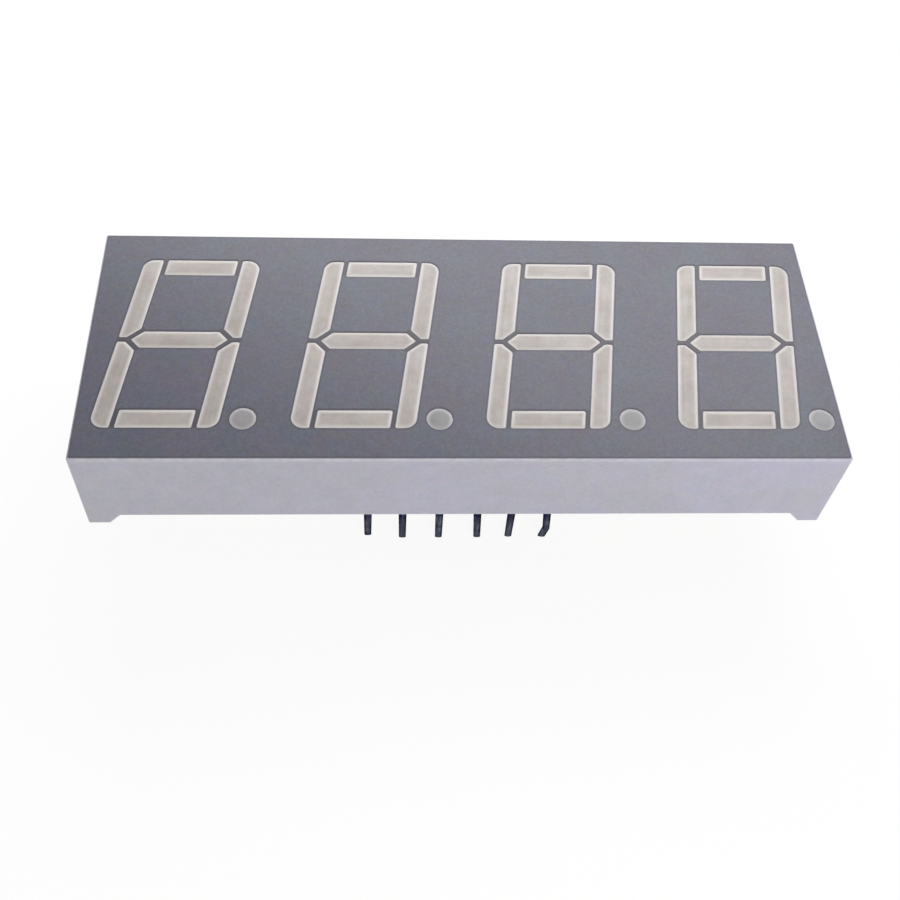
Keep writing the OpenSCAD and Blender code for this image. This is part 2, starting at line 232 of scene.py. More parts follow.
class Studio(bpy.types.PropertyGroup):
    aim: point("Aim", "Point on the face that the camera looks at", (-0.86, -1.62, 8))
    distance: length("Distance", "Distance from the camera to that point", 81.29)
    heading: angle("Heading", "How far the camera's look turns to the right of the digits' tops", 6.06)
    elevation: angle("Elevation", "How far the camera looks down", 52.9)
    roll: angle("Roll", "Turn of the camera about its look", 5.15)
    lens: FloatProperty(
        name="Lens", description="Focal length for a 36 mm sensor", unit="CAMERA", default=48.2
    )
    rise: FloatProperty(name="Rise", description="Upward shift of the lens", default=-0.1)
    key_place: point("Key lamp", "Middle of the soft lamp behind the part", (10, 62, 64))
    key_turn: angle("Key turn", "How far that lamp's right end is tipped up", 17)
    key_level: share("Key level", "Brightness of that lamp at the part", 0.88)
    fill_place: point("Fill lamp", "Middle of the soft lamp in front of the part", (60, -175, 60))
    fill_level: share("Fill level", "Brightness of that lamp at the part", 0.47)
    room_level: share("Room level", "Brightness of the room around the part", 0.2)
    floor: colour("Floor", "Colour of the pale floor", (232, 232, 232))
    floor_glow: share("Floor glow", "White that the camera sees in the floor beside the part", 0.9)


SETTINGS = {
    "display_housing": HousingFinish,
    "display_print": PrintFinish,
    "display_cast": CastFinish,
    "display_pins": PinFinish,
    "display_inside": InsideFinish,
    "display_studio": Studio,
}


# ---- Node trees ----


def add_node(tree, kind, **settings):
    """A shader node with its own settings."""
    node = tree.nodes.new("ShaderNode" + kind)
    for name, value in settings.items():
        setattr(node, name, value)
    return node


def feed(tree, socket, value):
    """Links an output to a socket, or sets the socket to a plain value."""
    if isinstance(value, bpy.types.NodeSocket):
        tree.links.new(value, socket)
    elif socket.type == "RGBA" and len(value) == 3:
        socket.default_value = (*value, 1)
    else:
        socket.default_value = value


def noise(tree, vector, scale, detail=2.0, roughness=0.5, output="Fac"):
    node = add_node(tree, "TexNoise")
    feed(tree, node.inputs["Vector"], vector)
    feed(tree, node.inputs["Scale"], scale)
    node.inputs["Detail"].default_value = detail
    node.inputs["Roughness"].default_value = roughness
    return node.outputs[output]


def ramp(tree, value, low, high, to_low=0.0, to_high=1.0):
    """A value that runs evenly between two limits and stays at them."""
    node = add_node(tree, "MapRange", clamp=True)
    for name, number in (
        ("Value", value),
        ("From Min", low),
        ("From Max", high),
        ("To Min", to_low),
        ("To Max", to_high),
    ):
        feed(tree, node.inputs[name], number)
    return node.outputs["Result"]


def arithmetic(tree, operation, first, second):
    node = add_node(tree, "Math", operation=operation)
    feed(tree, node.inputs[0], first)
    feed(tree, node.inputs[1], second)
    return node.outputs[0]


def blend(tree, share_of_second, first, second, mode="MIX"):
    node = add_node(tree, "Mix", data_type="RGBA", blend_type=mode)
    feed(tree, node.inputs["Factor"], share_of_second)
    feed(tree, node.inputs["A"], first)
    feed(tree, node.inputs["B"], second)
    return node.outputs["Result"]


def mix_shaders(tree, share_of_second, first, second):
    node = add_node(tree, "MixShader")
    for socket, value in zip(node.inputs, (share_of_second, first, second)):
        feed(tree, socket, value)
    return node.outputs[0]


def axes_of(tree, vector):
    """The X, Y and Z of a vector."""
    node = add_node(tree, "SeparateXYZ")
    feed(tree, node.inputs[0], vector)
    return node.outputs


def scaled(tree, vector, factor):
    node = add_node(tree, "VectorMath", operation="SCALE")
    feed(tree, node.inputs[0], vector)
    feed(tree, node.inputs["Scale"], factor)
    return node.outputs[0]


def in_millimetres(tree, turn=0.0, stretch=(1, 1, 1)):
    """The piece's own coordinates in millimetres, turned about Z and then stretched along the axes."""
    place = add_node(tree, "TexCoord")
    turned = add_node(tree, "Mapping", vector_type="POINT")
    turned.inputs["Rotation"].default_value = (0, 0, turn)
    tree.links.new(place.outputs["Object"], turned.inputs["Vector"])
    stretched = add_node(tree, "Mapping", vector_type="POINT")
    stretched.inputs["Scale"].default_value = tuple(value / MM for value in stretch)
    tree.links.new(turned.outputs["Vector"], stretched.inputs["Vector"])
    return stretched.outputs["Vector"]


def bump(tree, height, depth):
    node = add_node(tree, "Bump")
    node.inputs["Strength"].default_value = 1.0
    node.inputs["Distance"].default_value = depth
    feed(tree, node.inputs["Height"], height)
    return node.outputs["Normal"]


def new_group(name, inputs, outputs):
    """A node group with its input and output nodes."""
    tree = bpy.data.node_groups.new(name, "ShaderNodeTree")
    for label, kind, value in inputs:
        socket = tree.interface.new_socket(label, in_out="INPUT", socket_type="NodeSocket" + kind)
        if value is not None:
            socket.default_value = value
    for label, kind in outputs:
        tree.interface.new_socket(label, in_out="OUTPUT", socket_type="NodeSocket" + kind)
    return tree, tree.nodes.new("NodeGroupInput").outputs, tree.nodes.new("NodeGroupOutput").inputs


def use_group(tree, group, **values):
    """The outputs of a node group that is placed in a tree, with its own values."""
    node = tree.nodes.new("ShaderNodeGroup")
    node.node_tree = group
    for name, value in values.items():
        feed(tree, node.inputs[name], value)
    return node.outputs


def clouded_tone():
    """Two tones in soft clouds, broken by smaller ones."""
    tree, given, made = new_group(
        "clouded_tone",
        [
            ("Place", "Vector", None),
            ("Size", "Float", 6.0),
            ("First", "Color", None),
            ("Second", "Color", None),
        ],
        [("Tone", "Color"), ("Clouds", "Float")],
    )
    broad = noise(tree, given["Place"], arithmetic(tree, "DIVIDE", 1.0, given["Size"]), 3, 0.55)
    small = noise(tree, given["Place"], arithmetic(tree, "DIVIDE", 7.0, given["Size"]))
    clouds = ramp(tree, broad, 0.32, 0.68)
    tone = blend(tree, clouds, given["First"], given["Second"])
    feed(tree, made["Tone"], scaled(tree, tone, ramp(tree, small, 0.3, 0.7, 0.97, 1.03)))
    feed(tree, made["Clouds"], clouds)
    return tree


def mottling():
    """A colour with small patches that drift in hue, and finer flecks of light and dark."""
    tree, given, made = new_group(
        "mottling",
        [
            ("Place", "Vector", None),
            ("Colour", "Color", None),
            ("Size", "Float", 0.5),
            ("Strength", "Float", 1.0),
        ],
        [("Mottled", "Color")],
    )
    patch_scale = arithmetic(tree, "DIVIDE", 1.0, given["Size"])
    patches = noise(tree, given["Place"], patch_scale, output="Color")
    flecks = noise(tree, given["Place"], arithmetic(tree, "DIVIDE", 3.3, given["Size"]), 2, 0.7)
    hue_swing = Vector((0.44, 0.32, 0.54))
    drift = add_node(tree, "VectorMath", operation="MULTIPLY_ADD")
    feed(tree, drift.inputs[0], patches)
    drift.inputs[1].default_value = hue_swing
    drift.inputs[2].default_value = Vector((1, 1, 1)) - hue_swing / 2
    drifted = blend(tree, 1.0, given["Colour"], drift.outputs[0], "MULTIPLY")
    flecked = scaled(tree, drifted, ramp(tree, flecks, 0.3, 0.7, 0.83, 1.17))
    feed(tree, made["Mottled"], blend(tree, given["Strength"], given["Colour"], flecked))
    return tree


def mould_grain():
    """Fine grain, as height, with a mask of its shallow places."""
    tree, given, made = new_group(
        "mould_grain",
        [("Place", "Vector", None)],
        [("Height", "Float"), ("Shallow", "Float")],
    )
    fine = noise(tree, given["Place"], 9.0, 3.0, 0.6)
    coarse = noise(tree, given["Place"], 2.2, 2.0, 0.5)
    height = arithmetic(
        tree, "ADD", arithmetic(tree, "MULTIPLY", fine, 0.7), arithmetic(tree, "MULTIPLY", coarse, 0.3)
    )
    feed(tree, made["Height"], height)
    feed(tree, made["Shallow"], ramp(tree, coarse, 0.4, 0.62))
    return tree


def sharp_edges():
    """A mask of the places that lie within a given width of a sharp edge.

    Full is how far the rounded normal still agrees with the true one where the mask is full.
    """
    tree, given, made = new_group(
        "sharp_edges", [("Width", "Float", 0.0001), ("Full", "Float", 0.86)], [("Edge", "Float")]
    )
    rounded = add_node(tree, "Bevel", samples=8)
    feed(tree, rounded.inputs["Radius"], given["Width"])
    surface = add_node(tree, "NewGeometry")
    along = add_node(tree, "VectorMath", operation="DOT_PRODUCT")
    feed(tree, along.inputs[0], rounded.outputs["Normal"])
    feed(tree, along.inputs[1], surface.outputs["Normal"])
    feed(tree, made["Edge"], ramp(tree, along.outputs["Value"], 0.9995, given["Full"]))
    return tree


def turned_faces():
    """Masks of surfaces that face between the axes, such as rounded edges, and of upright walls."""
    tree, _, made = new_group("turned_faces", [], [("Turned", "Float"), ("Upright", "Float")])
    surface = add_node(tree, "NewGeometry")
    sizes = add_node(tree, "VectorMath", operation="ABSOLUTE")
    feed(tree, sizes.inputs[0], surface.outputs["Normal"])
    axes = axes_of(tree, sizes.outputs[0])
    larger = arithmetic(tree, "MAXIMUM", axes["X"], axes["Y"])
    largest = arithmetic(tree, "MAXIMUM", larger, axes["Z"])
    feed(tree, made["Turned"], ramp(tree, largest, 0.995, 0.93))
    feed(tree, made["Upright"], ramp(tree, axes["Z"], 0.3, 0.1))
    return tree


def beside_line():
    """A mask of the places near a straight line between two points, full within 0.6 of its reach."""
    tree, given, made = new_group(
        "beside_line",
        [
            ("Place", "Vector", None),
            ("From", "Vector", None),
            ("To", "Vector", None),
            ("Reach", "Float", 0.3),
        ],
        [("Near", "Float")],
    )

    def vectors(operation, first, second):
        node = add_node(tree, "VectorMath", operation=operation)
        feed(tree, node.inputs[0], first)
        feed(tree, node.inputs["Scale" if operation == "SCALE" else 1], second)
        return node.outputs["Value" if operation in ("DOT_PRODUCT", "DISTANCE") else "Vector"]

    line = vectors("SUBTRACT", given["To"], given["From"])
    place = vectors("SUBTRACT", given["Place"], given["From"])
    along = arithmetic(
        tree, "DIVIDE", vectors("DOT_PRODUCT", place, line), vectors("DOT_PRODUCT", line, line)
    )
    along.node.use_clamp = True
    distance = vectors("DISTANCE", place, vectors("SCALE", line, along))
    full = arithmetic(tree, "MULTIPLY", given["Reach"], 0.6)
    feed(tree, made["Near"], ramp(tree, distance, given["Reach"], full))
    return tree


def stray_specks():
    """A mask of a few small specks, about one to each square of the given spacing."""
    tree, given, made = new_group(
        "stray_specks",
        [("Place", "Vector", None), ("Spacing", "Float", 5.0), ("Radius", "Float", 0.08)],
        [("Speck", "Float")],
    )
    cells = add_node(tree, "TexVoronoi")
    feed(tree, cells.inputs["Vector"], given["Place"])
    feed(tree, cells.inputs["Scale"], arithmetic(tree, "DIVIDE", 1.0, given["Spacing"]))
    size = arithmetic(tree, "DIVIDE", given["Radius"], given["Spacing"])
    near = ramp(tree, cells.outputs["Distance"], size, arithmetic(tree, "MULTIPLY", size, 0.5))
    split = add_node(tree, "SeparateColor")
    feed(tree, split.inputs[0], cells.outputs["Color"])
    kept = arithmetic(tree, "GREATER_THAN", split.outputs[0], 0.72)
    feed(tree, made["Speck"], arithmetic(tree, "MULTIPLY", near, kept))
    return tree


def shared(maker):
    """A shared node group, made the first time that it is asked for."""
    return bpy.data.node_groups.get(maker.__name__) or maker()


def cleared_tree(owner):
    """The emptied node tree of a material or a world."""
    owner.use_nodes = True
    owner.node_tree.nodes.clear()
    return owner.node_tree


def new_material(name, **constants):
    """A material with a principled shader, whose plain values are set on its own sockets."""
    material = bpy.data.materials.new(name)
    tree = cleared_tree(material)
    shader = add_node(tree, "BsdfPrincipled")
    output = add_node(tree, "OutputMaterial")
    tree.links.new(shader.outputs[0], output.inputs["Surface"])
    for socket, value in constants.items():
        feed(tree, shader.inputs[socket.replace("_", " ")], value)
    return material, tree, shader.inputs


def dress(names, material):
    """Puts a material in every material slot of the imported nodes."""
    for name in names:
        for slot in frame["nodes"][name].material_slots:
            slot.material = material


# ---- Finishes ----


def housing_plastic(settings):
    material, tree, shader = new_material("housing_plastic", IOR=1.5)
    place = in_millimetres(tree)
    axes = axes_of(tree, place)
    low, high = (corner / MM for corner in HOUSING_BOX)
    # Painted light and shade: the plastic runs from its lighter tone at the right end to its darker tone
    # at the left end.
    shade_to_left = ramp(tree, axes["X"], high.x, low.x)
    dulled = blend(tree, shade_to_left, settings.pale, settings.dull)
    tone = use_group(
        tree, shared(clouded_tone), Place=place, Size=9.0, First=dulled, Second=settings.dull
    )
    grain = use_group(tree, shared(mould_grain), Place=place)
    # Painted highlight: the edge tone is laid on sharp edges, on the rounded edges near the face and on
    # a band of the walls just below the face, broken by the grain.
    edge = use_group(tree, shared(sharp_edges), Width=settings.edge_width)
    by_face = ramp(tree, axes["Z"], high.z - 0.3, high.z - 0.15)
    facing = use_group(tree, shared(turned_faces))
    outer = arithmetic(tree, "MAXIMUM", by_face, facing["Upright"])
    rounded_edge_highlight = arithmetic(tree, "MULTIPLY", facing["Turned"], outer)
    under_face = ramp(tree, axes["Z"], high.z - 0.45, high.z - 0.1, 0.0, 0.55)
    highlight_below_fold = arithmetic(tree, "MULTIPLY", facing["Upright"], under_face)
    edges = arithmetic(tree, "MAXIMUM", edge["Edge"], arithmetic(tree, "MAXIMUM", rounded_edge_highlight, highlight_below_fold))
    highlit = arithmetic(tree, "MULTIPLY", edges, ramp(tree, grain["Shallow"], 0.0, 1.0, 0.5, 0.9))
    mottled = use_group(
        tree, shared(mottling), Place=place, Colour=tone["Tone"], Size=0.9, Strength=0.3
    )
    feed(tree, shader["Base Color"], blend(tree, highlit, mottled["Mottled"], settings.worn))
    feed(tree, shader["Roughness"], ramp(tree, tone["Clouds"], 0.0, 1.0, 0.46, 0.58))
    feed(tree, shader["Normal"], bump(tree, grain["Height"], settings.grain_depth))
    return material


def in_border(tree, place, width):
    """1 within a width, in millimetres, of the outer edge of the printed face, and 0 inside that."""
    axes = axes_of(tree, place)
    borders = []
    for axis, half in (("X", FACE_BOX[1].x / MM), ("Y", FACE_BOX[1].y / MM)):
        distance = arithmetic(tree, "ABSOLUTE", axes[axis], 0.0)
        borders.append(ramp(tree, distance, half - 1.2 * width, half - width))
    return arithmetic(tree, "MAXIMUM", *borders)


def gap_lines():
    """The middle lines of the gaps between the bars, for a quarter of a digit that doesn't lean.

    They are in millimetres from the digit's middle: beside a level bar, along a point of the middle
    bar, and between two uprights.
    """
    level, middle, upright = (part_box(f"digit_1_segment_{bar}") for bar in "agb")
    centre = (middle[0].x + middle[1].x) / 2
    level_end = (level[1].x - level[0].x - LEAN * (level[1].y - level[0].y)) / 2
    beside = level_end + BAR_GAP / 2
    off_point = BAR_GAP * 0.4
    tip = middle[1].x - centre + off_point
    outer = upright[1].x - centre - LEAN * upright[1].y
    lines = (
        ((beside, level[0].y + off_point), (beside, level[1].y - off_point)),
        ((beside + off_point / 2, middle[1].y + off_point / 2), (tip, off_point)),
        ((tip, 0), (outer, 0)),
    )
    return [[(x / MM, y / MM, 0) for x, y in line] for line in lines]


def in_gaps(tree, place):
    """1 in the narrow gaps between the bars, and 0 beyond them.

    Every digit is the same, and the gaps are the same on both sides of its middle, so the face is
    folded until one quarter of one digit stands for all.
    """
    half_pitch = (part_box("digit_2_segment_g")[0].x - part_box("digit_1_segment_g")[0].x) / 2 / MM
    axes = axes_of(tree, place)
    leaned = arithmetic(tree, "MULTIPLY", axes["Y"], LEAN)
    upright_x = arithmetic(tree, "SUBTRACT", axes["X"], leaned)
    from_border = arithmetic(tree, "PINGPONG", upright_x, half_pitch)
    folded = add_node(tree, "CombineXYZ")
    feed(tree, folded.inputs["X"], arithmetic(tree, "SUBTRACT", half_pitch, from_border))
    feed(tree, folded.inputs["Y"], arithmetic(tree, "ABSOLUTE", axes["Y"], 0.0))
    quarter = folded.outputs[0]
    near = 0.0
    for start, end in gap_lines():
        line = use_group(tree, shared(beside_line), Place=quarter, From=start, To=end, Reach=0.28)
        near = arithmetic(tree, "MAXIMUM", line["Near"], near)
    return near


def printed_ink(settings):
    material, tree, shader = new_material("printed_ink", IOR=1.5)
    place = in_millimetres(tree)
    tone = use_group(
        tree, shared(clouded_tone), Place=place, Size=4.0, First=settings.cool, Second=settings.warm
    )
    # Painted shade: the ink is darkened along the edges of the openings, less at the face's outer
    # border, and in the gaps between the bars.
    edge = use_group(tree, shared(sharp_edges), Width=settings.bead_width, Full=0.97)
    speck = use_group(tree, shared(stray_specks), Place=place, Spacing=8.0, Radius=0.1)
    border = in_border(tree, place, width=0.4)
    bead = arithmetic(tree, "MULTIPLY", edge["Edge"], ramp(tree, border, 0.0, 1.0, 0.85, 0.35))
    gaps = arithmetic(tree, "MULTIPLY", in_gaps(tree, place), 0.7)
    shaded = arithmetic(tree, "MAXIMUM", bead, gaps)
    mottled = use_group(tree, shared(mottling), Place=place, Colour=tone["Tone"], Size=0.65)
    shaded_ink = blend(tree, shaded, mottled["Mottled"], settings.bead)
    dust = arithmetic(tree, "MULTIPLY", speck["Speck"], 0.35)
    dusty = blend(tree, dust, shaded_ink, DUST)
    grain = use_group(tree, shared(mould_grain), Place=place)
    feed(tree, shader["Base Color"], dusty)
    feed(tree, shader["Roughness"], ramp(tree, tone["Clouds"], 0.0, 1.0, 0.32, 0.38))
    feed(tree, shader["Normal"], bump(tree, grain["Height"], settings.grain_depth))
    return material


def cast_epoxy(name, rim, middle, tint, rise, turn, streakiness):
    """Milky epoxy, lighter along the wall of its well, partly where the white wall shows through and
    partly as a painted highlight, with streaks along the piece.
    """
    material, tree, shader = new_material(name, IOR=1.52)
    place = in_millimetres(tree)
    height = axes_of(tree, place)["Z"]
    # The rim tone by the wall is partly a painted highlight.
    inside = ramp(tree, height, (MOUTH_Z + 0.3 * rise) / MM, (MOUTH_Z + rise) / MM)
    streaks = noise(tree, in_millimetres(tree, turn, (0.22, 4.0, 1)), 1.0, 3.0, 0.6)
    clouds = noise(tree, place, 0.7, 2.0)
    streaked = blend(tree, ramp(tree, streaks, 0.38, 0.66, 0.0, streakiness), middle, tint)
    soft = blend(tree, ramp(tree, clouds, 0.3, 0.7, 0.0, 0.25), streaked, rim)
    mottled = use_group(tree, shared(mottling), Place=place, Colour=soft, Size=1.1, Strength=0.35)
    feed(tree, shader["Base Color"], blend(tree, inside, rim, mottled["Mottled"]))
    feed(tree, shader["Roughness"], ramp(tree, streaks, 0.3, 0.7, 0.28, 0.4))
    feed(tree, shader["Normal"], bump(tree, streaks, 0.003 * MM))
    return material


def pin_tin(settings):
    material, tree, shader = new_material("pin_tin", Metallic=1.0, Specular_Tint=TIN_SHEEN)
    drawn = noise(tree, in_millimetres(tree, stretch=(5, 5, 0.35)), 1.0, 3.0)
    stained = noise(tree, in_millimetres(tree), 1.6, 2.0)
    patch = arithmetic(tree, "MULTIPLY", ramp(tree, drawn, 0.45, 0.7), ramp(tree, stained, 0.4, 0.65))
    surface = add_node(tree, "NewGeometry")
    cropped = ramp(tree, axes_of(tree, surface.outputs["Normal"])["Z"], -0.8, -0.95)
    # Painted shade: the pins turn darker and bluer towards the body.
    blued = ramp(tree, axes_of(tree, in_millimetres(tree))["Z"], SHADE_END, SHADE_FULL)
    shaded_tin = blend(tree, blued, settings.dull, settings.blued)
    tin = blend(tree, patch, shaded_tin, settings.bright)
    feed(tree, shader["Base Color"], blend(tree, cropped, tin, settings.crop))
    feed(tree, shader["Roughness"], ramp(tree, stained, 0.35, 0.65, 0.3, 0.5))
    feed(tree, shader["Normal"], bump(tree, drawn, 0.006 * MM))
    return material


def board_laminate(settings):
    material, tree, shader = new_material("board_laminate", IOR=1.5)
    place = in_millimetres(tree)
    threads = []
    for direction in ("X", "Y"):
        wave = add_node(tree, "TexWave", wave_type="BANDS", bands_direction=direction)
        feed(tree, wave.inputs["Vector"], place)
        wave.inputs["Scale"].default_value = 0.6
        wave.inputs["Distortion"].default_value = 0.6
        threads.append(wave.outputs["Fac"])
    cloth = arithmetic(tree, "MULTIPLY", *threads)
    woven = blend(tree, cloth, settings.laminate, settings.weave)
    feed(tree, shader["Base Color"], woven)
    feed(tree, shader["Roughness"], ramp(tree, cloth, 0.0, 1.0, 0.35, 0.5))
    feed(tree, shader["Normal"], bump(tree, cloth, 0.01 * MM))
    return material


def mottled_metal(name, bright, dull, size, smooth, rough):
    material, tree, shader = new_material(name, Metallic=1.0)
    place = in_millimetres(tree)
    tone = use_group(tree, shared(clouded_tone), Place=place, Size=size, First=bright, Second=dull)
    feed(tree, shader["Base Color"], tone["Tone"])
    feed(tree, shader["Roughness"], ramp(tree, tone["Clouds"], 0.0, 1.0, smooth, rough))
    feed(tree, shader["Normal"], bump(tree, tone["Clouds"], 0.004 * MM))
    return material


def die_crystal(settings):
    material, tree, shader = new_material("die_crystal", IOR=2.2)
    tone = use_group(
        tree, shared(clouded_tone), Place=in_millimetres(tree), Size=0.2,
        First=settings.die, Second=settings.die_edge,
    )
    edge = use_group(tree, shared(sharp_edges), Width=0.03 * MM)
    feed(tree, shader["Base Color"], blend(tree, edge["Edge"], tone["Tone"], settings.die_edge))
    feed(tree, shader["Roughness"], ramp(tree, tone["Clouds"], 0.0, 1.0, 0.2, 0.4))
    return material


def cast_potting(settings):
    material, tree, shader = new_material("cast_potting", IOR=1.52)
    place = in_millimetres(tree)
    tone = use_group(
        tree, shared(clouded_tone), Place=place, Size=6.0,
        First=settings.potting, Second=settings.potting_deep,
    )
    bubble = use_group(tree, shared(stray_specks), Place=place, Spacing=1.6, Radius=0.12)
    swell = noise(tree, place, 0.35, 2.0)
    paler = arithmetic(tree, "MULTIPLY", bubble["Speck"], 0.5)
    feed(tree, shader["Base Color"], blend(tree, paler, tone["Tone"], settings.potting))
    feed(tree, shader["Roughness"], ramp(tree, tone["Clouds"], 0.0, 1.0, 0.12, 0.22))
    relief = arithmetic(tree, "SUBTRACT", swell, arithmetic(tree, "MULTIPLY", bubble["Speck"], 0.15))
    feed(tree, shader["Normal"], bump(tree, relief, 0.12 * MM))
    return material


# ---- Cast pieces ----


def deselect_all():
    for picked in bpy.context.selected_objects:
        picked.select_set(False)


def copy_of(node, name):
    """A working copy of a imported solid, with its doubled corners merged, in edit mode."""
    deselect_all()
    source = frame["nodes"][node]
    source.select_set(True)
    bpy.context.view_layer.objects.active = source
    bpy.ops.object.duplicate()
    piece = bpy.context.object
    piece.name = piece.data.name = name
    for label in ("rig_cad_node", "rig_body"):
        del piece[label]
    bpy.ops.object.mode_set(mode="EDIT")
    bpy.ops.mesh.select_mode(type="FACE")
    bpy.ops.mesh.select_all(action="SELECT")
    bpy.ops.mesh.remove_doubles(threshold=0.0001 * MM)
    return piece


def pick_faces(piece, wanted):
    """Selects in edit mode only the faces for which wanted(face) holds."""
    bpy.ops.mesh.select_all(action="DESELECT")
    mesh = bmesh.from_edit_mesh(piece.data)
    for face in mesh.faces:
        face.select_set(wanted(face))
    mesh.select_flush_mode()
    bmesh.update_edit_mesh(piece.data)


def merge_close(distance):
    """Merges the picked corners that lie closer than a distance, so that small arcs don't cross."""
    bpy.ops.mesh.remove_doubles(threshold=distance)


def crown(piece, settings, tidy_corners):
    """Gives the top of a cast piece the low crown that it sets with: steep by the wall, flat inside."""

    def is_top(face):
        return face.normal.z > 0.99 and face.calc_center_median().z > MOUTH_Z - 0.001 * MM

    pick_faces(piece, is_top)
    bpy.ops.mesh.dissolve_faces()
    bpy.ops.mesh.inset(thickness=settings.edge_width, depth=settings.edge_rise)
    if tidy_corners:
        merge_close(settings.edge_width * 1.5)
    bpy.ops.mesh.inset(thickness=settings.slope_width, depth=settings.slope_rise)
    bpy.ops.mesh.inset(thickness=settings.crown_width, depth=settings.crown_rise)
    if tidy_corners:
        merge_close(settings.edge_width)
    bpy.ops.object.mode_set(mode="OBJECT")
    bpy.ops.mesh.customdata_custom_splitnormals_clear()
    bpy.ops.object.shade_smooth_by_angle(angle=SMOOTH_ANGLE)


def crown_height(settings):
    return settings.edge_rise + settings.slope_rise + settings.crown_rise


def settle(piece, node, material):
    """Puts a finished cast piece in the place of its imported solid."""
    piece.data.materials.clear()
    piece.data.materials.append(material)
    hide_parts(node)
    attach(piece, "root")


class DISPLAY_OT_finish_housing(bpy.types.Operator):
    """Give the moulded reflector housing its satin plastic"""

    bl_idname = "display.finish_housing"
    bl_label = "Finish the housing"

    def execute(self, context):
        dress(["reflector_housing"], housing_plastic(context.scene.display_housing))
        return {"FINISHED"}


class DISPLAY_OT_print_face(bpy.types.Operator):
    """Give the printed face its satin ink"""

    bl_idname = "display.print_face"
    bl_label = "Print the face"

    def execute(self, context):
        dress(["face_ink"], printed_ink(context.scene.display_print))
        return {"FINISHED"}


class DISPLAY_OT_cast_bars(bpy.types.Operator):
    """Cast the epoxy of the bars, with the low crown that it sets with"""

    bl_idname = "display.cast_bars"
    bl_label = "Cast the bars"

    def execute(self, context):
        settings = context.scene.display_cast
        rise = crown_height(settings)
        tones = (settings.rim, settings.middle, settings.tint)
        level = cast_epoxy("level_bar_epoxy", *tones, rise, turn=0.0, streakiness=0.8)
        along = SLANT - math.pi / 2
        upright = cast_epoxy("upright_bar_epoxy", *tones, rise, turn=along, streakiness=0.8)
        for digit in DIGITS:
            for bar in BARS:
                node = f"digit_{digit}_segment_{bar}"
                piece = copy_of(node, f"digit_{digit}_cast_{bar}")
                crown(piece, settings, tidy_corners=True)
                settle(piece, node, level if bar in "adg" else upright)
        return {"FINISHED"}


class DISPLAY_OT_cast_points(bpy.types.Operator):
    """Cast the epoxy of the decimal points"""

    bl_idname = "display.cast_points"
    bl_label = "Cast the points"

    def execute(self, context):
        settings = context.scene.display_cast
        tones = (settings.point_rim, settings.point_middle, settings.tint)
        rise = crown_height(settings)
        material = cast_epoxy("point_epoxy", *tones, rise, turn=0.0, streakiness=0.15)
        for digit in DIGITS:
            node = f"digit_{digit}_point"
            piece = copy_of(node, f"digit_{digit}_cast_point")
            crown(piece, settings, tidy_corners=False)
            settle(piece, node, material)
        return {"FINISHED"}


class DISPLAY_OT_finish_board(bpy.types.Operator):
    """Finish the circuit board, its copper and its solder"""

    bl_idname = "display.finish_board"
    bl_label = "Finish the board"

    def execute(self, context):
        settings = context.scene.display_inside
        dress(["circuit_board"], board_laminate(settings))
        copper = mottled_metal(
            "pad_copper", settings.copper, settings.tarnish, size=1.2, smooth=0.3, rough=0.5
        )
        dress(["copper_pads"], copper)
        solder = mottled_metal(
            "bright_solder", settings.solder, settings.flux, size=0.6, smooth=0.15, rough=0.35
        )
        dress(["solder_joints"], solder)
        return {"FINISHED"}


class DISPLAY_OT_finish_dies(bpy.types.Operator):
    """Finish the light emitting dies and their bond wires"""

    bl_idname = "display.finish_dies"
    bl_label = "Finish the dies"

    def execute(self, context):
        settings = context.scene.display_inside
        gold = mottled_metal(
            "bond_gold", settings.wire, settings.wire_shade, size=0.3, smooth=0.15, rough=0.3
        )
        dress([f"digit_{digit}_led_dies" for digit in DIGITS], die_crystal(settings))
        dress([f"digit_{digit}_bond_wires" for digit in DIGITS], gold)
        return {"FINISHED"}


class DISPLAY_OT_finish_potting(bpy.types.Operator):
    """Finish the epoxy behind the circuit board"""

    bl_idname = "display.finish_potting"
    bl_label = "Finish the potting"

    def execute(self, context):
        dress(["back_potting"], cast_potting(context.scene.display_inside))
        return {"FINISHED"}


class DISPLAY_OT_finish_pins(bpy.types.Operator):
    """Give the twelve pins their dulled tin"""

    bl_idname = "display.finish_pins"
    bl_label = "Finish the pins"

    def execute(self, context):
        dress([f"pin_{pin}" for pin in PINS], pin_tin(context.scene.display_pins))
        return {"FINISHED"}


# ---- Studio ----


def looked_at(tree):
    """1 for rays that start at the camera, directly or by a reflection, and 0 for light on surfaces."""
    path = add_node(tree, "LightPath")
    mirrored = arithmetic(
        tree, "MAXIMUM", path.outputs["Is Glossy Ray"], path.outputs["Is Transmission Ray"]
    )
    return arithmetic(tree, "MAXIMUM", path.outputs["Is Camera Ray"], mirrored)


